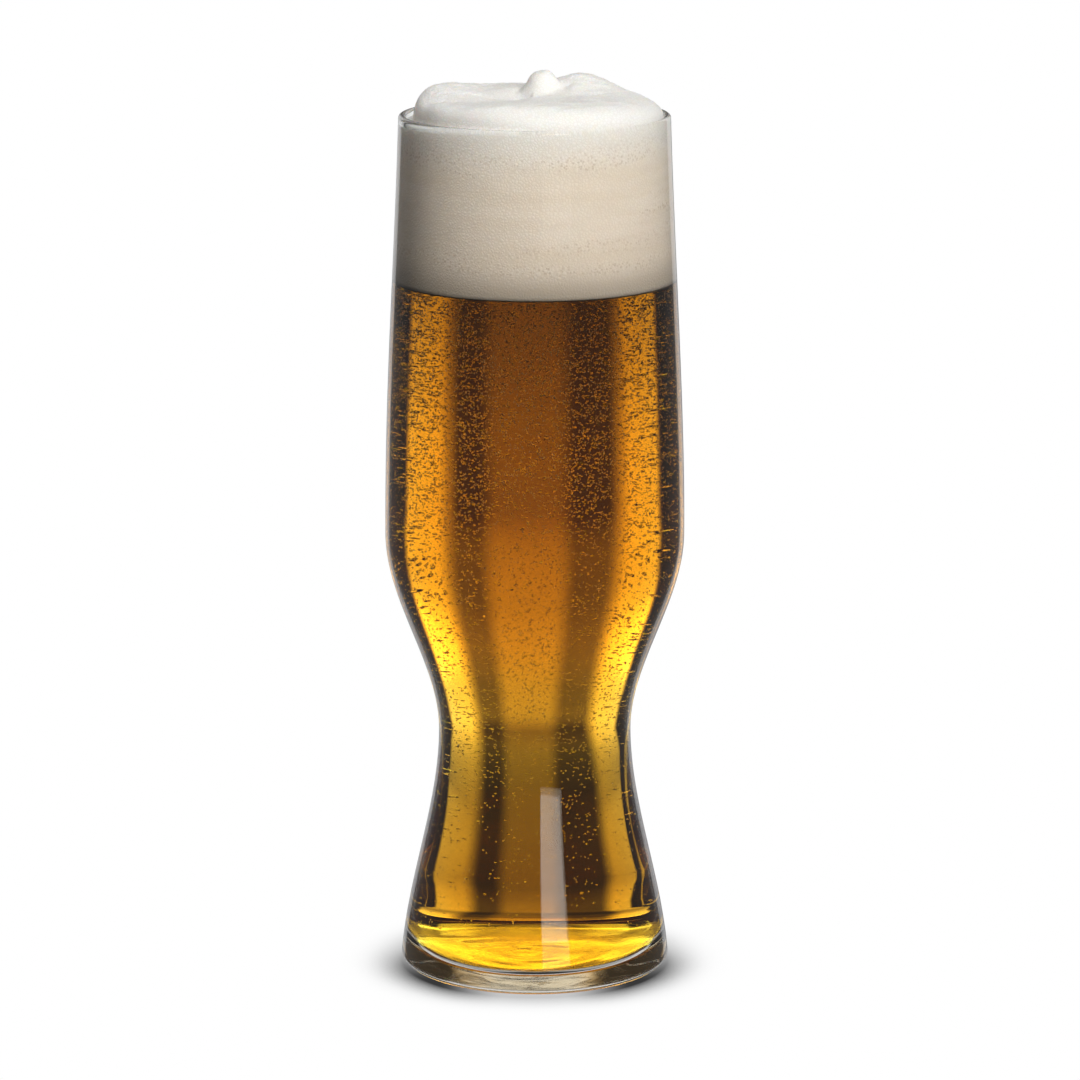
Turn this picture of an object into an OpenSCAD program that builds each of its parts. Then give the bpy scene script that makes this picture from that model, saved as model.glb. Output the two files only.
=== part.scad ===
// Pilsner glass: a waisted, footed glass poured with a lager and its foam head.
// Lengths are in millimetres. The glass stands on z = 0 and its axis is +Z.

/* [Glass outline] */
// Height of the glass from the table to the lip
glass_h = 195; // [175:1:240]
// Diameter across the lip
rim_d = 60.5; // [50:0.5:74]
// Widest diameter of the bowl
belly_d = 67.5; // [56:0.5:82]
// Height of the widest place of the bowl
belly_z = 100; // [82:1:122]
// Narrowest diameter, above the foot
waist_d = 43.6; // [36:0.2:53]
// Height of the narrowest place
waist_z = 54.8; // [45:0.2:66]
// Diameter across the foot
foot_d = 61; // [50:0.5:74]
// Slope left in the bowl wall at the lip, as a share of its mean slope
rim_lean = 0.85; // [0:0.05:1.5]
// Slope left in the foot at the heel, as a share of its mean slope
foot_flare = 0.54; // [0:0.02:1]
// Height of the rounded heel under the foot
heel_h = 2.4; // [1.6:0.1:4]
// How far the heel turns in before the standing ring
heel_in = 2.5; // [1.5:0.1:4]
// Width of the flat ring that the glass stands on
ring_w = 4; // [2:0.5:8]

/* [Glass wall] */
// Wall at the lip and through the bowl
wall_t = 1.6; // [1:0.1:2.4]
// Wall at the bottom of the foot
foot_wall_t = 2.6; // [1.8:0.1:4]
// Glass under the drink, at the middle of the base
base_t = 1.8; // [1.6:0.1:5]
// Depth of the shallow hollow under the base
punt_h = 0.6; // [0.5:0.1:2]
// Radius of the inside corner round the floor
floor_round = 8; // [5:0.5:11]
// Rise of the inside floor at its middle
floor_rise = 0.2; // [0:0.1:1.6]

/* [Drink] */
// Depth of the foam head below the lip
head_h = 37; // [25:1:60]
// Height of the crown of foam above the lip
crown_h = 7.5; // [4:0.5:11]
// Gap left all round between the drink and the glass
drink_gap = 0.1; // [0.05:0.05:0.3]
// Number of rounded billows in the crown
billow_n = 5; // [3:1:7]
// Diameter of a billow
billow_d = 17; // [12:0.5:21]
// Distance of the billows from the axis
billow_reach = 13.5; // [10:0.5:16]
// Height of a billow above the dome of the crown
billow_up = 1.4; // [0.8:0.1:2.4]
// Diameter of the peak in the middle of the crown
peak_d = 11; // [8:0.5:14]

/* [Bubbles] */
// Number of large gas bubbles rising through the beer
bubble_n = 60; // [10:1:120]
// Diameter of the largest bubble
bubble_d = 0.9; // [0.6:0.1:1.4]
// Diameter of the smallest bubble as a share of the largest
bubble_share = 0.6; // [0.4:0.05:1]
// Gap between a bubble and the beer round it
bubble_gap = 0.05; // [0.03:0.01:0.1]

/* [Hidden] */
$fn = 96;
rim_r = rim_d / 2;
belly_r = belly_d / 2;
waist_r = waist_d / 2;
foot_r = foot_d / 2;
ring_r = foot_r - heel_in;
punt_r = ring_r - ring_w;
lip_r = wall_t / 2;
lip_z = glass_h - lip_r;
floor_z = punt_h + base_t - floor_rise;
corner_z = floor_z + floor_round;
fill_z = glass_h - head_h;
// Outline steps along a long curve of the wall and round a small arc
wall_steps = 16;
arc_steps = 8;
// Share of the heel that each end of its curve runs straight on
heel_pull = 0.6;
// How deep the centre of the middle peak sits in the crown, as a share of its diameter
peak_sink = 0.28;
// How deep the edge of a billow sits in the crown
billow_sink = 0.6;
// Turn of the ring of billows, so that none lies square to the front
billow_turn = 20;
// Clear beer kept between the bubbles and the floor, the wall and the foam
bubble_margin = 3;
// Steps of an even three-way scatter: powers of the root of x^4 = x + 1
scatter = 1.2207440846;

function mix(a, b, t) = a + (b - a) * t;
function steps(a, b, n) = [for (i = [0 : n]) mix(a, b, i / n)];
function part_of(x) = x - floor(x);
function clip(t) = min(1, max(0, t));
// Smooth change from 0 to 1 that starts level and ends with the given slope
function ease(t, slope) = (3 - slope) * t ^ 2 - (2 - slope) * t ^ 3;

function bowl_r(z) = mix(belly_r, rim_r, ease((z - belly_z) / (glass_h - belly_z), rim_lean));
function neck_r(z) = mix(waist_r, belly_r, ease((z - waist_z) / (belly_z - waist_z), 0));
function cone_r(z) = mix(waist_r, foot_r, ease((waist_z - z) / (waist_z - heel_h), foot_flare));
function outer_r(z) = z > belly_z ? bowl_r(z) : z > waist_z ? neck_r(z) : cone_r(z);
function wall(z) = mix(foot_wall_t, wall_t, ease(clip((z - heel_h) / (belly_z - heel_h)), 0));
function inner_r(z) = outer_r(z) - wall(z);
// Heights up the wall from one place to another, by way of the waist and the belly
function rows(a, b) = concat(
    steps(a, waist_z, wall_steps),
    [for (i = [1 : wall_steps]) mix(waist_z, belly_z, i / wall_steps)],
    [for (i = [1 : wall_steps]) mix(belly_z, b, i / wall_steps)]
);

// The heel leaves the foot along its slope and meets the table level
heel_slope = foot_flare * (foot_r - waist_r) / (waist_z - heel_h);
heel_from = [foot_r, heel_h];
heel_out = [foot_r + heel_slope * heel_h * heel_pull, heel_h * (1 - heel_pull)];
heel_under = [ring_r + heel_in * heel_pull, 0];
heel_to = [ring_r, 0];
function heel(t) =
    (1 - t) ^ 3 * heel_from
    + 3 * t * (1 - t) ^ 2 * heel_out
    + 3 * t ^ 2 * (1 - t) * heel_under
    + t ^ 3 * heel_to;

// Inside of the glass from the middle of the floor to the start of the wall, drawn in by a gap
function floor_r(gap) = inner_r(corner_z) - gap - floor_round;
function swell(share) = floor_rise * (1 + cos(180 * share)) / 2;
function cup_floor(gap) = concat(
    [for (t = steps(0, 1, arc_steps)) [t * floor_r(gap), floor_z + gap + swell(t)]],
    [for (a = steps(90 / arc_steps, 90, arc_steps - 1))
        [floor_r(gap) + floor_round * sin(a), floor_z + gap + floor_round * (1 - cos(a))]]
);
function cup_wall(gap, a, b) = [for (z = rows(a, b)) [inner_r(z) - gap, z]];
function reversed(v) = [for (i = [len(v) - 1 : -1 : 0]) v[i]];

// Crown of the foam: a low dome that starts inside the lip
crown_r = inner_r(lip_z) - drink_gap;
function crown_z(r) = glass_h + crown_h * sqrt(1 - (r / crown_r) ^ 2);

// A billow is a low round heap, from a base inside the dome to a top above it
billow_base = crown_z(billow_reach + billow_d / 2) - billow_sink;
billow_top = crown_z(billow_reach) + billow_up;
function billow(a) = [billow_d / 2 * cos(a), mix(billow_base, billow_top, sin(a))];

// Bubbles: an even scatter through the beer, none of them near another
function bubble_z(i) = mix(corner_z + bubble_margin, fill_z - bubble_margin, part_of(i / scatter));
function bubble_r(i) = bubble_d / 2 * mix(bubble_share, 1, part_of(i / scatter ^ 3));
function bubble_out(i) = (inner_r(bubble_z(i)) - bubble_margin) * sqrt(part_of(i / scatter ^ 2));
function bubble_at(i) = [
    bubble_out(i) * cos(360 * part_of(i / scatter ^ 3)),
    bubble_out(i) * sin(360 * part_of(i / scatter ^ 3)),
    bubble_z(i)
];

// One blown piece: heel, foot, waist, bowl and lip outside, then the cup inside, then the punt
module glass() {
    outside = concat(
        [for (t = steps(1, 0, arc_steps)) heel(t)],
        [for (z = rows(heel_h, lip_z)) if (z > heel_h) [outer_r(z), z]]
    );
    lip = [for (a = steps(180 / arc_steps, 180 - 180 / arc_steps, arc_steps - 2))
        [outer_r(lip_z) - lip_r + lip_r * cos(a), lip_z + lip_r * sin(a)]];
    inside = concat(cup_floor(0), [for (p = cup_wall(0, corner_z, lip_z)) if (p[1] > corner_z) p]);
    punt = [for (t = steps(0, 1, arc_steps)) [t * punt_r, punt_h * (1 - t ^ 2)]];
    color([0.85, 0.9, 0.9, 0.35])
        rotate_extrude()
            polygon(concat(outside, lip, reversed(inside), punt));
}

// The liquid fills the cup up to the foam, with a pocket for every bubble
module beer() {
    body = concat(
        cup_floor(drink_gap),
        [for (p = cup_wall(drink_gap, corner_z + drink_gap, fill_z)) if (p[1] > corner_z + drink_gap) p],
        [[0, fill_z]]
    );
    color([0.85, 0.5, 0.08, 0.7])
        difference() {
            rotate_extrude()
                polygon(body);
            for (i = [1 : bubble_n])
                translate(bubble_at(i))
                    sphere(r = bubble_r(i) + bubble_gap);
        }
}

// Foam from the beer up to the lip, heaped above it in billows round a peak
module foam_head() {
    column = [for (z = steps(fill_z, lip_z, wall_steps)) [inner_r(z) - drink_gap, z]];
    dome = [for (a = steps(0, 90, 2 * arc_steps)) [crown_r * cos(a), crown_z(crown_r * cos(a))]];
    color([0.97, 0.93, 0.84])
        union() {
            rotate_extrude()
                polygon(concat([[0, fill_z]], column, dome));
            translate([0, 0, crown_z(0) - peak_d * peak_sink])
                sphere(d = peak_d);
            for (i = [0 : billow_n - 1])
                rotate(billow_turn + 360 * i / billow_n)
                    translate([billow_reach, 0, 0])
                        rotate_extrude()
                            polygon(concat([[0, billow_base]], [for (a = steps(0, 90, arc_steps)) billow(a)]));
        }
}

// Beads of gas, each loose in its pocket in the beer
module rising_bubbles() {
    color([0.95, 0.95, 0.9, 0.5])
        for (i = [1 : bubble_n])
            translate(bubble_at(i))
                sphere(r = bubble_r(i));
}

glass();
beer();
foam_head();
rising_bubbles();
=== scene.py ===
# Pilsner glass poured with lager: the visual model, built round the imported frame.
# Outlines are written in millimetres, as the glass would be drawn, and scaled to metres in the mesh.
import math

import bmesh
import bpy
import numpy as np
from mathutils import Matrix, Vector, noise


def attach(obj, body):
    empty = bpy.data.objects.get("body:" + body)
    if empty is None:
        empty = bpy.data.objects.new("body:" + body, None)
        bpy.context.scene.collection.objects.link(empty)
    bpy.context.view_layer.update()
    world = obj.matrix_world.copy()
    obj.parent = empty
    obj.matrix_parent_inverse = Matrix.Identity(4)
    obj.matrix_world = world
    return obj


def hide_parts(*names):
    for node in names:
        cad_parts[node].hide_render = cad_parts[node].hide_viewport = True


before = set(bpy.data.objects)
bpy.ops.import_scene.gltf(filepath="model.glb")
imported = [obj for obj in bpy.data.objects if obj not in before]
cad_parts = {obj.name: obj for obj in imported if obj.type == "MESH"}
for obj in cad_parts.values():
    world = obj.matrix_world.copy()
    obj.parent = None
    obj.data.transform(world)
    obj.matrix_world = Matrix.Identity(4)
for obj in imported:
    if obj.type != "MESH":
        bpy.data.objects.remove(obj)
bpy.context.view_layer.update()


# GLASS
# The vessel is one piece of clear soda-lime glass, blown into a mould: flared foot, waist, bowl and
# fire-polished lip. Its thick base keeps the rings that the glass froze in as it sank to the bottom.
MM = 0.001
LIP_Z = 195.0
LIP_R = 30.25
BELLY_Z = 100.0
BELLY_R = 33.75
WAIST_Z = 54.8
WAIST_R = 21.8
HEEL_Z = 2.4
FOOT_R = 30.5
HEEL_IN = 2.5
RING_WIDTH = 4.0
LIP_LEAN = 0.85
FOOT_FLARE = 0.54
BOWL_WALL = 1.6
FOOT_WALL = 2.6
PUNT_H = 0.6
FLOOR_Z = 2.2
FLOOR_RISE = 0.2
FLOOR_ROUND = 8.0
LIP_RING = 0.24
BEER_LINE = 158.0
RIPPLE_R = 23.0
RIPPLE_FADE = 8.0
RIPPLE_H = 0.05
FINE_RIPPLE_H = 0.012
FLOOR_RIPPLE = 0.3
WAVE_FROM = 12.0
WAVE_H = 0.02
FINE_WAVE_H = 0.012
GLASS_SIDES = 256


def ease(t, slope):
    """A smooth run from 0 to 1 that starts level and ends with the given slope."""
    return (3 - slope) * t ** 2 - (2 - slope) * t ** 3


def outer_r(z):
    """Radius of the outside above the heel."""
    if z > BELLY_Z:
        return BELLY_R + (LIP_R - BELLY_R) * ease((z - BELLY_Z) / (LIP_Z - BELLY_Z), LIP_LEAN)
    if z > WAIST_Z:
        return WAIST_R + (BELLY_R - WAIST_R) * ease((z - WAIST_Z) / (BELLY_Z - WAIST_Z), 0)
    return WAIST_R + (FOOT_R - WAIST_R) * ease((WAIST_Z - z) / (WAIST_Z - HEEL_Z), FOOT_FLARE)


def inner_r(z):
    """Radius of the cup above its rounded floor, inside a wall that thins from the foot to the belly."""
    t = min(1.0, max(0.0, (z - HEEL_Z) / (BELLY_Z - HEEL_Z)))
    return outer_r(z) - FOOT_WALL - (BOWL_WALL - FOOT_WALL) * ease(t, 0)


def heel(t):
    """Point on the rounded heel, from the foot at 0 to the standing ring at 1."""
    slope = FOOT_FLARE * (FOOT_R - WAIST_R) / (WAIST_Z - HEEL_Z)
    ring_r = FOOT_R - HEEL_IN
    a = np.array((FOOT_R, HEEL_Z))
    b = np.array((FOOT_R + slope * HEEL_Z * 0.6, HEEL_Z * 0.4))
    c = np.array((ring_r + HEEL_IN * 0.6, 0.0))
    d = np.array((ring_r, 0.0))
    return tuple((1 - t) ** 3 * a + 3 * t * (1 - t) ** 2 * b + 3 * t ** 2 * (1 - t) * c + t ** 3 * d)


def cup_floor(grow):
    """Inside of the cup from the middle of the floor to the foot of the wall, let out by grow."""
    corner_z = FLOOR_Z + FLOOR_ROUND
    flat_r = inner_r(corner_z) - FLOOR_ROUND
    line = []
    for t in np.linspace(0, 1, 61):
        swell = FLOOR_RISE * (1 + math.cos(math.pi * t)) / 2
        line.append((t * flat_r, FLOOR_Z + swell - grow))
    for a in np.linspace(0, math.pi / 2, 15)[1:]:
        line.append((
            flat_r + (FLOOR_ROUND + grow) * math.sin(a),
            FLOOR_Z + FLOOR_ROUND - (FLOOR_ROUND + grow) * math.cos(a),
        ))
    return line


def cup_wall(low, high, grow, steps):
    """Wall of the cup from one height to another, let out by grow."""
    return [(inner_r(z) + grow, z) for z in np.linspace(low, high, steps)]


def lathe(name, outline, sides, wobble=None):
    """A closed solid of revolution. The outline runs from the axis to the axis; wobble moves its points."""
    rings = np.array(outline[1:-1])
    turn = np.linspace(0, 2 * math.pi, sides, endpoint=False)
    r = np.repeat(rings[:, :1], sides, axis=1)
    z = np.repeat(rings[:, 1:], sides, axis=1)
    a = np.repeat(turn[None, :], len(rings), axis=0)
    if wobble:
        r, z = wobble(r, z, a)
    points = np.stack((r * np.cos(a), r * np.sin(a), z), axis=-1).reshape(-1, 3)
    ends = np.array(((0, 0, outline[0][1]), (0, 0, outline[-1][1])))
    points = np.vstack((points, ends)) * MM
    base = np.arange(sides)
    after = (base + 1) % sides
    faces = []
    for k in range(len(rings) - 1):
        low, high = k * sides, (k + 1) * sides
        faces.append(np.stack((low + base, low + after, high + after, high + base), axis=1))
    quads = np.vstack(faces).tolist()
    first, last = len(points) - 2, len(points) - 1
    top = (len(rings) - 1) * sides
    fans = [(first, int(j), int(i)) for i, j in zip(base, after)]
    fans += [(last, int(top + i), int(top + j)) for i, j in zip(base, after)]
    mesh = bpy.data.meshes.new(name)
    mesh.from_pydata(points.tolist(), [], quads + fans)
    mesh.polygons.foreach_set("use_smooth", [True] * len(mesh.polygons))
    mesh.update()
    piece = bpy.data.objects.new(name, mesh)
    bpy.context.scene.collection.objects.link(piece)
    return piece


def base_ripple(r, a):
    """Height of the frozen rings in the base, in millimetres: a slow spiral that fades at the wall."""
    spiral = np.sin(2 * math.pi * r / 8.5 + a + 0.9 * np.sin(2 * a + 0.6))
    finer = np.sin(2 * math.pi * r / 4.7 - 2 * a + 1.3 * np.sin(a))
    fade = np.clip((RIPPLE_R - r) / RIPPLE_FADE, 0, 1) * np.clip(r / 3, 0, 1)
    return fade * (RIPPLE_H * spiral + FINE_RIPPLE_H * finer)


def glass_wobble(r, z, a):
    """The rings in the floor and under the base, and the slow unevenness of a blown wall."""
    middle = (PUNT_H + FLOOR_Z) / 2
    inside = (z > middle) & (z < FLOOR_Z + FLOOR_ROUND)
    under = z < middle
    z = z + np.where(inside, FLOOR_RIPPLE * base_ripple(r, a), 0)
    z = z - np.where(under, base_ripple(r, a + 0.8) * np.clip((22.5 - r) / 4, 0, 1), 0)
    wave = WAVE_H * np.sin(3 * a + z / 14) + FINE_WAVE_H * np.sin(5 * a - z / 9 + 1)
    return r + np.where(z > WAVE_FROM, wave, 0), z


punt_r = FOOT_R - HEEL_IN - RING_WIDTH
lip_half = BOWL_WALL / 2
lip_line = LIP_Z - lip_half
under_lip = lip_line - LIP_RING
glass_outline = [(t * punt_r, PUNT_H * (1 - t ** 2)) for t in np.linspace(0, 1, 49)]
glass_outline += [heel(t) for t in np.linspace(1, 0, 17)]
glass_outline += [(outer_r(z), z) for z in np.linspace(HEEL_Z, under_lip, 104)[1:]]
glass_outline += [(outer_r(z), z) for z in (lip_line - LIP_RING / 3, lip_line)]
glass_outline += [
    (outer_r(lip_line) - lip_half + lip_half * math.cos(a), lip_line + lip_half * math.sin(a))
    for a in np.linspace(0, math.pi, 19)[1:-1]
]
glass_outline += cup_wall(lip_line, under_lip, 0, 3)
glass_outline += cup_wall(under_lip, BEER_LINE, 0, 30)[1:]
wetted_from = len(glass_outline) - 3
glass_outline += cup_wall(BEER_LINE, FLOOR_Z + FLOOR_ROUND, 0, 84)[1:-1]
glass_outline += cup_floor(0)[::-1]
glass = lathe("glass_body", glass_outline, GLASS_SIDES, glass_wobble)
wetted = np.zeros(len(glass.data.polygons), np.int32)
wetted[wetted_from * GLASS_SIDES:-GLASS_SIDES] = 1
wetted[-GLASS_SIDES:] = 1
wetted[-2 * GLASS_SIDES:-GLASS_SIDES] = 0
glass.data.polygons.foreach_set("material_index", wetted)


def new_material(name):
    """A material with its shader, and a maker of nodes in it that takes their settings as words."""
    made = bpy.data.materials.new(name)
    made.use_nodes = True
    tree = made.node_tree

    def node(kind, **settings):
        n = tree.nodes.new(kind)
        for key, value in settings.items():
            setattr(n, key, value)
        return n

    return made, tree, tree.nodes["Principled BSDF"], node


# A mix node has several sockets of each name, so its colours are reached by number.
MIX_LOW, MIX_HIGH, MIX_RESULT = 6, 7, 2


def cloudy_group():
    """Shader group for a tint that drifts between two colours in soft clouds."""
    group = bpy.data.node_groups.new("cloudy_tint", "ShaderNodeTree")
    for name, kind in (("Vector", "Vector"), ("Scale", "Float"), ("Low", "Color"), ("High", "Color")):
        group.interface.new_socket(name, in_out="INPUT", socket_type="NodeSocket" + kind)
    group.interface.new_socket("Tint", in_out="OUTPUT", socket_type="NodeSocketColor")
    given = group.nodes.new("NodeGroupInput")
    result = group.nodes.new("NodeGroupOutput")
    clouds = group.nodes.new("ShaderNodeTexNoise")
    clouds.inputs["Detail"].default_value = 4
    share = group.nodes.new("ShaderNodeMapRange")
    share.inputs["From Min"].default_value = 0.35
    share.inputs["From Max"].default_value = 0.7
    mix = group.nodes.new("ShaderNodeMix")
    mix.data_type = "RGBA"
    group.links.new(given.outputs["Vector"], clouds.inputs["Vector"])
    group.links.new(given.outputs["Scale"], clouds.inputs["Scale"])
    group.links.new(clouds.outputs["Fac"], share.inputs["Value"])
    group.links.new(share.outputs["Result"], mix.inputs["Factor"])
    group.links.new(given.outputs["Low"], mix.inputs[MIX_LOW])
    group.links.new(given.outputs["High"], mix.inputs[MIX_HIGH])
    group.links.new(mix.outputs[MIX_RESULT], result.inputs["Tint"])
    return group


cloudy_tint = cloudy_group()


def clear_body(name, ior, gleam, scale, low, high):
    """A clear stuff with faint clouds in its tint. gleam is how much its face mirrors."""
    made, tree, shader, node = new_material(name)
    shader.inputs["Metallic"].default_value = 0
    shader.inputs["Roughness"].default_value = 0
    shader.inputs["Transmission Weight"].default_value = 1
    shader.inputs["IOR"].default_value = ior
    shader.inputs["Specular IOR Level"].default_value = gleam
    place = node("ShaderNodeTexCoord").outputs["Object"]
    clouds = node("ShaderNodeGroup", node_tree=cloudy_tint)
    for key, value in (("Scale", scale), ("Low", low), ("High", high)):
        clouds.inputs[key].default_value = value
    tint = clouds.outputs["Tint"]
    tree.links.new(place, clouds.inputs["Vector"])
    tree.links.new(tint, shader.inputs["Base Color"])
    return made, tree, shader, node, place, tint


GLASS_IOR = 1.5
glass_clouds = (45, (0.965, 0.98, 0.975, 1), (0.99, 0.996, 0.993, 1))
glass.data.materials.append(clear_body("dry_glass", GLASS_IOR, 0.5, *glass_clouds)[0])
glass.data.materials.append(clear_body("wetted_glass", GLASS_IOR, 0.0, *glass_clouds)[0])
glass.visible_shadow = False
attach(glass, "vessel")
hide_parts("glass")


# BEER
# Golden lager fills the cup from its floor to the foam. It wets the glass, so its skin is let a hair
# into the wall, and each larger bubble of gas in it is a round pocket, crowded below the foam.
WETTING = 0.06
BEER_EDGE = 0.1
BEER_SIDES = 144
BEER_IOR = 1.345
LARGE_BUBBLES = 420
LARGE_SIZES = (0.44, 0.64)
POCKETS = 5800
POCKET_SIZES = (0.36, 0.52)
BUBBLES_FROM = 8.0
UNDER_FOAM = 0.8
OFF_WALL = 0.15
CLINGING = 0.7
CLING_DEPTH = 0.6
WHITE = (1, 1, 1, 1)
SHADE_UNDER_HEAD_PAINT = (0.47, 0.43, 0.39, 1)
MALT = (0.909, 0.775, 0.21, 1)


def bubble_places(count, sizes, seed):
    """Middles and radii of bubbles in the beer: a haze in its upper third, few in the foot."""
    rng = np.random.default_rng(seed)
    least, largest = sizes
    lowest, highest = BUBBLES_FROM, BEER_LINE - UNDER_FOAM
    tries = rng.random((count * 30, 6))
    z = lowest + (highest - lowest) * tries[:, 0]
    deep = highest - z
    in_foot = 0.05
    in_bowl = 0.24 / (1 + np.exp((deep - 110) / 8))
    below_foam = 0.27 * np.exp(-deep / 22)
    in_haze = 0.45 / (1 + np.exp((deep - 46) / 10))
    crowd = in_foot + in_bowl + below_foam + in_haze
    wall = np.array([inner_r(h) if h > FLOOR_Z + FLOOR_ROUND else inner_r(h) - 6 for h in z])
    kept = tries[:, 1] < crowd * wall / BELLY_R
    z, wall, tries = z[kept][:count], wall[kept][:count], tries[kept][:count]
    radii = (least + (largest - least) * tries[:, 4] ** 2) / 2
    wall = wall - OFF_WALL - radii
    clinging = tries[:, 5] < CLINGING
    out = np.where(clinging, wall - CLING_DEPTH * tries[:, 2], np.sqrt(tries[:, 2]) * wall)
    turn = tries[:, 3] * 2 * math.pi
    middles = np.stack((out * np.cos(turn), out * np.sin(turn), z), axis=1)
    return middles, radii


def bubble_mesh(middles, radii, divisions, inward):
    """Points and faces of round beads, facing out, or inward as the wall of a pocket."""
    shape = bmesh.new()
    bmesh.ops.create_icosphere(shape, subdivisions=divisions, radius=1)
    corners = np.array([v.co[:] for v in shape.verts])
    sides = np.array([[v.index for v in f.verts] for f in shape.faces])
    shape.free()
    if inward:
        sides = sides[:, ::-1]
    points = (middles[:, None, :] + radii[:, None, None] * corners[None]).reshape(-1, 3) * MM
    faces = (np.arange(len(middles))[:, None, None] * len(corners) + sides[None]).reshape(-1, 3)
    return points, faces


def add_mesh(piece, points, faces):
    """Joins loose closed shells to a piece's mesh."""
    mesh = piece.data
    old = np.empty(len(mesh.vertices) * 3)
    mesh.vertices.foreach_get("co", old)
    polygons = [list(f.vertices) for f in mesh.polygons]
    first = len(mesh.vertices)
    name = mesh.name
    whole = bpy.data.meshes.new(name)
    whole.from_pydata(
        np.vstack((old.reshape(-1, 3), points)).tolist(), [], polygons + (faces + first).tolist()
    )
    whole.polygons.foreach_set("use_smooth", [True] * len(whole.polygons))
    whole.update()
    piece.data = whole
    bpy.data.meshes.remove(mesh)


beer_outline = cup_floor(WETTING)
beer_outline += cup_wall(FLOOR_Z + FLOOR_ROUND, BEER_LINE - BEER_EDGE, WETTING, 76)[1:]
beer_outline += [(inner_r(BEER_LINE) + WETTING, BEER_LINE)]
beer_outline += [(r, BEER_LINE) for r in np.linspace(inner_r(BEER_LINE) - 2 * BEER_EDGE, 0, 6)]
beer = lathe("beer_body", beer_outline, BEER_SIDES)
large_at, large_r = bubble_places(LARGE_BUBBLES, LARGE_SIZES, 11)
fine_at, fine_r = bubble_places(POCKETS, POCKET_SIZES, 12)
add_mesh(beer, *bubble_mesh(large_at, large_r, 2, True))
add_mesh(beer, *bubble_mesh(fine_at, fine_r, 1, True))

lager, tree, shader, node, place, tint = clear_body(
    "lager", BEER_IOR, 0.0, 120, (0.93, 0.91, 0.87, 1), WHITE
)


def between(value, low, high, start=0.0, end=1.0):
    """Runs smoothly from start to end as a value of the material at hand goes from low to high."""
    n = node("ShaderNodeMapRange", interpolation_type="SMOOTHSTEP")
    tree.links.new(value, n.inputs["Value"])
    for key, number in (("From Min", low), ("From Max", high), ("To Min", start), ("To Max", end)):
        n.inputs[key].default_value = number
    return n.outputs["Result"]


parts = node("ShaderNodeSeparateXYZ")
tree.links.new(place, parts.inputs["Vector"])
# Painted shade: the beer's tint grows darker upwards to the foam, where less light comes through under the
# head.
painted_shade_under_head = node("ShaderNodeMix", data_type="RGBA", blend_type="MULTIPLY")
painted_shade_under_head.inputs[MIX_HIGH].default_value = SHADE_UNDER_HEAD_PAINT
tree.links.new(between(parts.outputs["Z"], 0.112, 0.1585), painted_shade_under_head.inputs["Factor"])
tree.links.new(tint, painted_shade_under_head.inputs[MIX_LOW])
tree.links.new(painted_shade_under_head.outputs[MIX_RESULT], shader.inputs["Base Color"])
malt = node("ShaderNodeVolumeAbsorption")
malt.inputs["Color"].default_value = MALT
malt.inputs["Density"].default_value = 140
tree.links.new(malt.outputs["Volume"], tree.nodes["Material Output"].inputs["Volume"])
beer.data.materials.append(lager)
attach(beer, "drink")
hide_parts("beer")


# BUBBLES
# The larger beads of gas, each in its pocket in the beer. Gas bends no light of its own, so what
# shows is the bright and dark rim of the pocket round it. The finest fizz is beads with no pocket.
GAS_GAP = 0.02
FINE_BUBBLES = 9400
FINE_SIZES = (0.34, 0.5)
bubbles = bpy.data.objects.new("rising_bubbles_body", bpy.data.meshes.new("rising_bubbles_body"))
bpy.context.scene.collection.objects.link(bubbles)
add_mesh(bubbles, *bubble_mesh(large_at, large_r - GAS_GAP, 2, False))
gas = clear_body("gas_bead", 1.0, 0.0, 300, (0.97, 0.96, 0.93, 1), WHITE)[0]
bubbles.data.materials.append(gas)
bubbles.visible_shadow = False
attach(bubbles, "drink")
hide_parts("rising_bubbles")

fizz = clear_body("fine_fizz", 1.5, 0.0, 300, (0.9, 0.86, 0.78, 1), WHITE)[0]
for name, seed in (("fine_bubbles_a", 13), ("fine_bubbles_b", 14)):
    haze = bpy.data.objects.new(name, bpy.data.meshes.new(name))
    bpy.context.scene.collection.objects.link(haze)
    haze_at, haze_r = bubble_places(FINE_BUBBLES, FINE_SIZES, seed)
    add_mesh(haze, *bubble_mesh(haze_at, haze_r, 1, False))
    haze.data.materials.append(fizz)
    haze.visible_shadow = False
    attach(haze, "drink")


# FOAM HEAD
# Dense cream-white foam stands on the beer and fills the bowl to the lip, then heaps above it. It is
# made of fine bubbles, with bands of coarser ones where the pour paused.
FOAM_SIDES = 320
FOAM_SINK = 0.3
SHOULDER_FROM = 2.8
SHOULDER_TO = 1.2
CROWN_RINGS = 120
CROWN_R = 28.6
CROWN_FOOT = 0.3
CROWN_TOP = 4.9
LEFT_INSET = 1.6
LEFT_SINK = 1.2
PEAK_X, PEAK_Y = 1.4, 3.0
PEAK_WIDE = 1.15
PEAK_R = 3.0
PEAK_H = 3.5
MOAT_R = 4.8
MOAT_WIDE = 1.4
MOAT_DEPTH = 0.35
LUMP_H, LUMP_SIZE = 0.4, 7.0
GRAIN_H, GRAIN_SIZE = 0.16, 1.5
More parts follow.
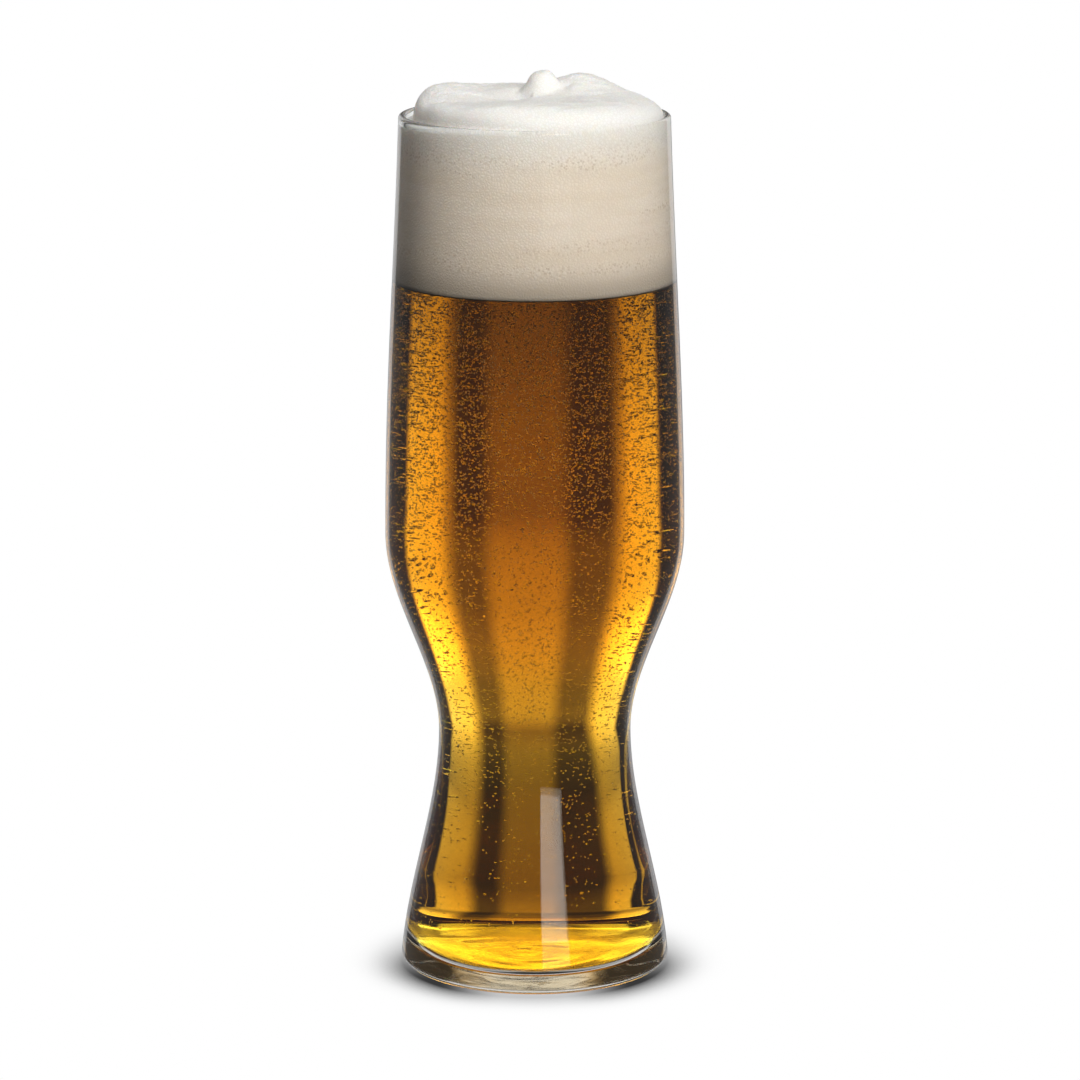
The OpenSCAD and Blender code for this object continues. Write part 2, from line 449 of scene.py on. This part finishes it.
# Each heap or hollow of the crown: its middle across and in depth, its reach both ways, its height.
HEAPS = (
    (10.5, 8, 8, 8, 3.8),
    (-20, 6, 9, 10, 2.5),
    (-4, 6, 5, 6, 0.8),
    (0, -21, 17, 5, 0.4),
    (-3, -7, 13, 6, -0.8),
)
CREAM = (0.885, 0.80, 0.69, 1)
CREAM_SHADE = (0.83, 0.735, 0.61, 1)
SPECK = (0.46, 0.33, 0.2, 1)
CELL_RIM = (0.68, 0.57, 0.44, 1)
PAINTED_FOOT_SHADE = (0.30, 0.235, 0.165, 1)
LOW_SHADE = (0.55, 0.46, 0.36, 1)
CROWN_WHITE_WITH_TOP_LIGHT = (0.965, 0.94, 0.89, 1)
CROWN_RIM = (0.80, 0.76, 0.69, 1)


def leftness(x, y):
    """How far a point lies towards the left edge of the crown, where the foam stands back: 0 to 1."""
    return np.clip(-x / np.maximum(np.hypot(x, y), 1e-6), 0, 1)


def crown_height(x, y):
    """Height of the foam above its edge, in millimetres: a flat heap, steep at the left, with a peak."""
    out = np.maximum(np.hypot(x, y), 1e-6)
    left = leftness(x, y)
    front = np.clip(-y / out, 0, 1)
    share = np.clip(out / (CROWN_R - LEFT_INSET * left), 0, 1)
    steep = 4.5 + 3 * front + 16 * left
    top = np.full_like(x, CROWN_TOP)
    for at_x, at_y, wide, deep, high in HEAPS:
        top += high * np.exp(-((x - at_x) / wide) ** 2 - ((y - at_y) / deep) ** 2)
    peak = np.hypot((x - PEAK_X) / PEAK_WIDE, y - PEAK_Y)
    top += PEAK_H * np.exp(-(peak / PEAK_R) ** 4)
    top -= MOAT_DEPTH * np.exp(-((peak - MOAT_R) / MOAT_WIDE) ** 2)
    return top * (1 - share ** steep) ** 0.5


def froth(points, scale):
    """Soft rounded noise at each point, about -1 to 1."""
    return np.array([noise.fractal(Vector(p) / scale, 0.9, 2.1, 3) for p in points])


foam_floor = BEER_LINE - FOAM_SINK
ring_r = np.linspace(0, 1, CROWN_RINGS + 1)[1:] ** 0.6 * CROWN_R
foam_outline = [(0, foam_floor)]
foam_outline += [(r, foam_floor) for r in np.linspace(0, inner_r(BEER_LINE) + WETTING / 2, 12)[1:]]
foam_outline += cup_wall(BEER_LINE, LIP_Z - SHOULDER_FROM, WETTING, 50)[1:]
foam_outline.append((inner_r(LIP_Z - SHOULDER_TO) + WETTING, LIP_Z - SHOULDER_TO))
crown_first = len(foam_outline) - 1
foam_outline += [(r, LIP_Z) for r in ring_r[::-1]] + [(0, LIP_Z)]
foam = lathe("foam_head_body", foam_outline, FOAM_SIDES)
flat = np.empty(len(foam.data.vertices) * 3)
foam.data.vertices.foreach_get("co", flat)
spots = flat.reshape(-1, 3) / MM
top = np.zeros(len(spots), bool)
top[crown_first * FOAM_SIDES:-2] = True
top[-1] = True
shoulder = slice((crown_first - 1) * FOAM_SIDES, crown_first * FOAM_SIDES)
spots[shoulder, 2] -= LEFT_SINK * leftness(spots[shoulder, 0], spots[shoulder, 1]) ** 2
x, y = spots[top, 0], spots[top, 1]
flow = np.stack((x, y, np.zeros_like(x)), axis=1)
lumps = LUMP_H * froth(flow * (0.7, 1.3, 1), LUMP_SIZE)
grain = GRAIN_H * froth(flow, GRAIN_SIZE)
inner = np.clip((CROWN_R - np.hypot(x, y)) / 4, 0, 1)
lift = crown_height(x, y) + inner * (lumps + grain)
spots[top, 2] = LIP_Z - CROWN_FOOT - LEFT_SINK * leftness(x, y) ** 2 + lift
foam.data.vertices.foreach_set("co", (spots * MM).ravel())
foam.data.update()

cream, tree, shader, node = new_material("cream_foam")
shader.inputs["Roughness"].default_value = 0.6
shader.inputs["IOR"].default_value = 1.33
shader.inputs["Specular IOR Level"].default_value = 0.2
shader.inputs["Subsurface Weight"].default_value = 0.4
shader.inputs["Subsurface Radius"].default_value = (1.0, 0.75, 0.5)
shader.inputs["Subsurface Scale"].default_value = 0.007
place = node("ShaderNodeTexCoord").outputs["Object"]


def drawn_out(sideways, upward, detail):
    """Noise with its own scale round the glass and up it."""
    stretch = node("ShaderNodeVectorMath", operation="MULTIPLY")
    stretch.inputs[1].default_value = (sideways, sideways, upward)
    texture = node("ShaderNodeTexNoise")
    texture.inputs["Scale"].default_value = 1
    texture.inputs["Detail"].default_value = detail
    tree.links.new(place, stretch.inputs[0])
    tree.links.new(stretch.outputs["Vector"], texture.inputs["Vector"])
    return texture.outputs["Fac"]


def cells(scale, feature):
    """Packed bubbles: the distance to the middle or to the rim of the nearest."""
    texture = node("ShaderNodeTexVoronoi", feature=feature)
    texture.inputs["Scale"].default_value = scale
    tree.links.new(place, texture.inputs["Vector"])
    return texture.outputs["Distance"]


def maths(operation, *values):
    """A maths node of the material at hand. Each value is a number or a socket."""
    n = node("ShaderNodeMath", operation=operation)
    for socket, value in zip(n.inputs, values):
        if isinstance(value, (int, float)):
            socket.default_value = value
        else:
            tree.links.new(value, socket)
    return n.outputs["Value"]


def times(a, b):
    """The product of two values."""
    return maths("MULTIPLY", a, b)


def blended(share, low, high):
    """A mix of two colours of the material at hand. Each is a colour or a socket."""
    n = node("ShaderNodeMix", data_type="RGBA")
    tree.links.new(share, n.inputs["Factor"])
    for socket, value in ((n.inputs[MIX_LOW], low), (n.inputs[MIX_HIGH], high)):
        if isinstance(value, tuple):
            socket.default_value = value
        else:
            tree.links.new(value, socket)
    return n.outputs[MIX_RESULT]


parts = node("ShaderNodeSeparateXYZ")
tree.links.new(place, parts.inputs["Vector"])
height = parts.outputs["Z"]
streaks = drawn_out(34, 230, 4)
bands = drawn_out(22, 190, 2)
coarse = cells(1350, "F1")
fine = cells(1400, "DISTANCE_TO_EDGE")
low_band = times(between(height, 0.162, 0.1645), between(height, 0.1665, 0.1695, 1, 0))
low_band = times(low_band, between(streaks, 0.36, 0.56))
high_bands = times(between(bands, 0.47, 0.64), between(height, 0.165, 0.172))
specks = times(maths("MAXIMUM", low_band, high_bands), between(coarse, 0.15, 0.5, 0.6, 0))
colour = blended(between(streaks, 0.33, 0.67), CREAM_SHADE, CREAM)
colour = blended(specks, colour, SPECK)
colour = blended(between(fine, 0.02, 0.18, 0.28, 0), colour, CELL_RIM)
# Painted shade: the foam darkens towards its foot on the beer, where its light leaks away into the drink.
colour = blended(between(height, 0.158, 0.1665, 0.72, 0), colour, PAINTED_FOOT_SHADE)
# Painted shade: the lower part of the column is darker, as less light reaches it than its top.
colour = blended(between(height, 0.164, 0.186, 0.22, 0), colour, LOW_SHADE)
# The crown's foam is whiter, and its colour also carries painted light: the foam grows lighter from just
# under the lip to the top, as the light falls from above.
crown = blended(between(fine, 0.02, 0.2, 0.42, 0), CROWN_WHITE_WITH_TOP_LIGHT, CROWN_RIM)
colour = blended(between(height, 0.183, 0.197), colour, crown)
tree.links.new(colour, shader.inputs["Base Color"])
dimples = node("ShaderNodeBump")
dimples.inputs["Strength"].default_value = 0.6
dimples.inputs["Distance"].default_value = 0.00025
tree.links.new(fine, dimples.inputs["Height"])
tree.links.new(dimples.outputs["Normal"], shader.inputs["Normal"])
foam.data.materials.append(cream)
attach(foam, "drink")
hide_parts("foam_head")


# STUDIO
# A white floor with the soft contact shadow under the heel, a tent of tall strip lights that only the
# glass and the beer see, a key, an overhead, a fill and a back light, and the photograph's camera.
FLOOR_HALF = 3.0
FLOOR_DROP = 0.0002
SHADOW_REACH = 0.016
SHADOW_DARK = 0.04
SHADOW_WEAK = 0.45
SHADE_TOP = 30.0
TENT_R = 10000.0
TENT_Z = 60.0


def hidden_from(piece, *rays):
    """Keeps a piece of the studio out of sight of kinds of ray."""
    for kind in rays:
        setattr(piece, "visible_" + kind, False)


floor_mesh = bpy.data.meshes.new("studio_floor")
corners = [(FLOOR_HALF * x, FLOOR_HALF * y, 0) for x, y in ((-1, -1), (1, -1), (1, 1), (-1, 1))]
floor_mesh.from_pydata(corners, [], [(0, 1, 2, 3)])
floor = bpy.data.objects.new("studio_floor", floor_mesh)
bpy.context.scene.collection.objects.link(floor)
floor.location.z = -FLOOR_DROP
hidden_from(floor, "transmission", "glossy", "diffuse")
paper, tree, shader, node = new_material("floor_paper")
shader.inputs["Base Color"].default_value = (0.8, 0.8, 0.8, 1)
shader.inputs["Roughness"].default_value = 0.9
near = node("ShaderNodeAmbientOcclusion", samples=24)
near.inputs["Distance"].default_value = SHADOW_REACH
shade = node("ShaderNodeMapRange", interpolation_type="SMOOTHERSTEP")
shade.inputs["From Min"].default_value = 0.5
shade.inputs["To Min"].default_value = SHADOW_DARK
tree.links.new(near.outputs["AO"], shade.inputs["Value"])
spot = node("ShaderNodeNewGeometry")
across = node("ShaderNodeSeparateXYZ")
tree.links.new(spot.outputs["Position"], across.inputs["Vector"])
off_axis = between(maths("ABSOLUTE", across.outputs["X"]), 0.006, 0.022, SHADOW_WEAK, 1)
from_front = between(across.outputs["Y"], -0.018, 0.014, 1, SHADOW_WEAK)


def either(share, low, high):
    """The low value where the share is 0, and the high one where it is 1."""
    return maths("MULTIPLY_ADD", share, maths("SUBTRACT", high, low), low)


shadow = either(times(off_axis, from_front), 1, shade.outputs["Result"])
lit_paper = node("ShaderNodeEmission")
path = node("ShaderNodeLightPath")
both = node("ShaderNodeMixShader")
tree.links.new(shadow, lit_paper.inputs["Color"])
tree.links.new(path.outputs["Is Camera Ray"], both.inputs["Fac"])
tree.links.new(shader.outputs["BSDF"], both.inputs[1])
tree.links.new(lit_paper.outputs["Emission"], both.inputs[2])
tree.links.new(both.outputs["Shader"], tree.nodes["Material Output"].inputs["Surface"])
floor.data.materials.append(paper)

shade_outline = [(0, 0.05)] + [heel(t) for t in np.linspace(1, 0, 9)]
shade_outline += [(outer_r(z), z) for z in np.linspace(HEEL_Z, SHADE_TOP, 12)[1:]] + [(0, SHADE_TOP)]
heel_shade = lathe("studio_heel_shade", shade_outline, 96)
hidden_from(heel_shade, "camera", "diffuse", "glossy", "transmission", "volume_scatter")

tent_outline = [
    (TENT_R * math.sin(a), TENT_Z - TENT_R * math.cos(a)) for a in np.linspace(0, math.pi, 49)
]
tent = lathe("studio_tent", tent_outline, 96)
hidden_from(tent, "camera", "diffuse", "shadow", "volume_scatter")

strips, tree, shader, node = new_material("strip_lights")


def added(*values):
    """The sum of some values."""
    total = values[0]
    for value in values[1:]:
        total = maths("ADD", total, value)
    return total


def profile(value, stops):
    """Straight runs through pairs of a value and its result, level beyond both ends."""
    total = stops[0][1]
    for (low, start), (high, end) in zip(stops, stops[1:]):
        n = node("ShaderNodeMapRange")
        tree.links.new(value, n.inputs["Value"])
        for key, number in (("From Min", low), ("From Max", high), ("To Min", 0), ("To Max", end - start)):
            n.inputs[key].default_value = number
        total = maths("ADD", n.outputs["Result"], total)
    return total


# Angles on the tent, in degrees: turn is 0 straight behind the glass, and rise is 0 level with it.
# Each quarter has a glow in its middle, then on both sides a gap, a bright strip and the dark.
AXIS_TURN = 1.5
QUARTER = 90
GLOW_FADES = (5, 10)
STRIP_STARTS = (14, 21.5)
STRIP_ENDS = (33.5, 37.5)
DARK_STARTS = (34.5, 39)
DARK_LIGHT = 0.02
where = node("ShaderNodeNewGeometry")
split = node("ShaderNodeSeparateXYZ")
tree.links.new(where.outputs["Position"], split.inputs["Vector"])
east, north, up = split.outputs
to_degrees = 180 / math.pi
turn = times(maths("ARCTAN2", east, north), to_degrees)
slope = maths("DIVIDE", maths("SUBTRACT", up, TENT_Z * MM), TENT_R * MM)
rise = times(maths("ARCSINE", slope), to_degrees)
side = maths("ABSOLUTE", maths("SUBTRACT", turn, AXIS_TURN))
in_quarter = maths("MODULO", maths("ADD", side, QUARTER / 2), QUARTER)
nearest = maths("ABSOLUTE", maths("SUBTRACT", in_quarter, QUARTER / 2))
is_right = times(maths("LESS_THAN", turn, 0), maths("GREATER_THAN", turn, -60))
lean = times(is_right, profile(rise, ((-24, 7.5), (-13, 3), (-10, 2.2), (4, 1.8), (14, 1.5))))
right_reach = profile(rise, (
    (-35, 4), (-31, 9), (-21, 8), (-13, 0.75), (-2, 0.75), (2, 2), (9, 2), (14, 0.75),
))
left_reach = profile(rise, ((-35, 4), (-26, 5), (-18, 2.5), (-14, 0)))
reach = either(is_right, left_reach, right_reach)
edge = maths("SUBTRACT", added(nearest, between(side, 44, 46, 0, 7)), reach)
strip_start = between(maths("SUBTRACT", nearest, lean), *STRIP_STARTS)
strip = times(strip_start, between(edge, *STRIP_ENDS, 1, 0))
glow = between(nearest, *GLOW_FADES, 1, 0)
is_dark = between(edge, *DARK_STARTS)

# How bright each is, as pairs of rise and strength.
strip_light = profile(rise, (
    (-36, 1.9), (-33.7, 1.85), (-30, 1.3), (-28, 1.15), (-26, 0.78), (-24, 0.84), (-21, 1.03),
    (-17.7, 1.5), (-14, 2.15), (-12, 2.45), (-9, 2.7), (0, 2.7), (3.5, 3.1), (6, 4.4), (8, 5.6),
    (12, 5.6), (22, 3.0), (32, 1.5),
))
glow_light = profile(rise, (
    (-32, 0.85), (-30, 0.6), (-28, 0.45), (-26, 0.43), (-22, 0.43), (-19, 0.52), (-16, 0.58),
    (-14, 0.55), (-12.6, 0.52), (-12.1, 0.57), (-11.7, 0.64), (-9.5, 0.96), (-7.2, 1.2), (-4, 1.36),
    (0, 1.4), (2.5, 1.58), (12, 2.2), (22, 2.2), (32, 0.7),
))
gap_light = profile(rise, (
    (-32, 0.2), (-29, 0.08), (-24, 0.05), (-19.7, 0.11), (-16, 0.18), (-14, 0.15), (-12.6, 0.13),
    (-11.6, 0.13), (-9, 0.3), (-7, 0.4), (-3, 0.38), (0, 0.38), (2, 0.46), (4, 0.55), (14, 1.6),
    (22, 1.6), (32, 0.3),
))
gap = either(is_dark, gap_light, DARK_LIGHT)
tent_light = either(glow, either(strip, gap, strip_light), glow_light)

# Light that came through the drink by one bounce off the base is the pool in the foot. Light that
# bounced more often, or went through the bare glass, or off its face, has its own strength.
BEER_FACES = 5.5
CARD_TURN = 161.5
CARD_LIGHT = 2.1
VEIL = 0.15
ray = node("ShaderNodeLightPath")
bounces = ray.outputs["Glossy Depth"]
in_beer = maths("GREATER_THAN", ray.outputs["Transmission Depth"], BEER_FACES)
is_straight = maths("LESS_THAN", bounces, 0.5)
is_once = maths("COMPARE", bounces, 1, 0.5)
is_often = maths("GREATER_THAN", bounces, 1.5)
is_mirrored = maths("SUBTRACT", 1, ray.outputs["Is Transmission Ray"])
first_hand = maths("LESS_THAN", ray.outputs["Diffuse Depth"], 0.5)
turn_size = maths("ABSOLUTE", turn)
rise_size = maths("ABSOLUTE", rise)
swirl = maths("SINE", added(times(rise, 0.3), times(turn, 0.1)))
pool = times(maths("MULTIPLY_ADD", swirl, 1.3, 4), between(rise, -9, -3, 0.05, 1))
once = either(between(rise, 31.5, 34, 1, 0), tent_light, pool)
once = times(once, between(turn_size, 60, 110, 1, 0.1))
often = times(between(rise, 2, 12, 0.06, 0.85), between(nearest, 14, 26, 1, 0.015))
often = maths("MAXIMUM", often, times(in_beer, 0.04))
behind = times(between(side, 8, 13), between(side, 27, 31, 1, 0))
card_height = times(between(rise, -2.8, -1.8), between(rise, 34, 36, 1, 0))
off_card = maths("ABSOLUTE", maths("SUBTRACT", turn, CARD_TURN))
card = times(between(off_card, 11, 12.6, 1, 0), card_height)
ceiling = between(rise, 38, 50, 0.03, 0.8)
outside = added(times(behind, between(rise, -30, 10, 0.4, 0.7)), times(card, CARD_LIGHT), ceiling)
clear = between(rise, -36, -28, 0.05, 1)
behind_lip = times(between(turn_size, 24, 34, 0.8, 0), between(rise_size, 24, 32, 1, 0))
in_wall = maths("MAXIMUM", outside, behind_lip)
through = added(
    times(is_straight, either(in_beer, clear, tent_light)),
    times(is_once, either(in_beer, in_wall, once)),
    times(is_often, maths("MAXIMUM", often, ceiling)),
)
light = either(is_mirrored, through, maths("ADD", outside, VEIL))

# The tints: white strips, a warm glow, a greener pool, an amber rim and a cool veil with a warm card.
warmth = profile(rise, ((-18, 0), (-13, 0.9), (-11.5, 0.9), (-8, 0.5), (0, 0.5), (6, 1)))
warm = blended(warmth, (1, 1.02, 0.95, 1), (1, 0.86, 0.7, 1))
amber = blended(between(nearest, 9, 24), (1, 0.88, 0.68, 1), (1, 0.66, 0.28, 1))
mirrored = blended(card, (0.97, 0.98, 1, 1), (1, 0.94, 0.8, 1))
tint = blended(maths("MAXIMUM", strip, maths("SUBTRACT", 1, in_beer)), warm, WHITE)
tint = blended(times(is_once, in_beer), tint, (1, 1.22, 0.9, 1))
tint = blended(is_often, tint, amber)
tint = blended(is_mirrored, tint, mirrored)
lamp = node("ShaderNodeEmission")
tree.links.new(tint, lamp.inputs["Color"])
tree.links.new(times(light, first_hand), lamp.inputs["Strength"])
tree.links.new(lamp.outputs["Emission"], tree.nodes["Material Output"].inputs["Surface"])
tent.data.materials.append(strips)


def soft_light(name, wide, high, watts, at, towards):
    """An area light that shows only on what it lights."""
    data = bpy.data.lights.new(name, "AREA")
    data.shape = "RECTANGLE"
    data.size = wide
    data.size_y = high
    data.energy = watts
    made = bpy.data.objects.new(name, data)
    bpy.context.scene.collection.objects.link(made)
    made.location = at
    made.rotation_euler = (Vector(towards) - made.location).to_track_quat("-Z", "Y").to_euler()
    hidden_from(made, "camera", "glossy", "transmission")


soft_light("key", 1.73, 2.7, 122, (1.82, -3.57, 1.45), (0, 0, 1.45))
soft_light("overhead", 1.2, 1.2, 19, (0.45, -0.6, 1.9), (0, 0, 0.15))
soft_light("fill", 0.05, 0.05, 0.022, (-0.11, -0.07, 0.29), (0, 0, 0.19))
soft_light("back", 1.6, 0.6, 66, (-1.4, 3.7, 0.3), (0, 0, 0.18))

AMBIENT = 0.05
world = bpy.data.worlds.new("studio")
bpy.context.scene.world = world
world.use_nodes = True
tree = world.node_tree
sky = tree.nodes["Background"]
sky.inputs["Color"].default_value = WHITE
path = tree.nodes.new("ShaderNodeLightPath")
level = tree.nodes.new("ShaderNodeMath")
level.operation = "MULTIPLY_ADD"
level.inputs[1].default_value = 1 - AMBIENT
level.inputs[2].default_value = AMBIENT
tree.links.new(path.outputs["Is Camera Ray"], level.inputs[0])
tree.links.new(level.outputs["Value"], sky.inputs["Strength"])

CAMERA_PITCH = 12.2
camera_data = bpy.data.cameras.new("photo_camera")
camera_data.lens = 163.64
camera_data.sensor_width = 36
camera = bpy.data.objects.new("photo_camera", camera_data)
bpy.context.scene.collection.objects.link(camera)
camera.location = (0.0012, -1.08485, 0.3328)
camera.rotation_euler = (math.radians(90 - CAMERA_PITCH), 0, 0)
bpy.context.scene.camera = camera

scene = bpy.context.scene
scene.view_settings.view_transform = "Standard"
scene.cycles.max_bounces = 40
scene.cycles.transmission_bounces = 40
scene.cycles.glossy_bounces = 24
scene.cycles.diffuse_bounces = 4
scene.cycles.transparent_max_bounces = 16
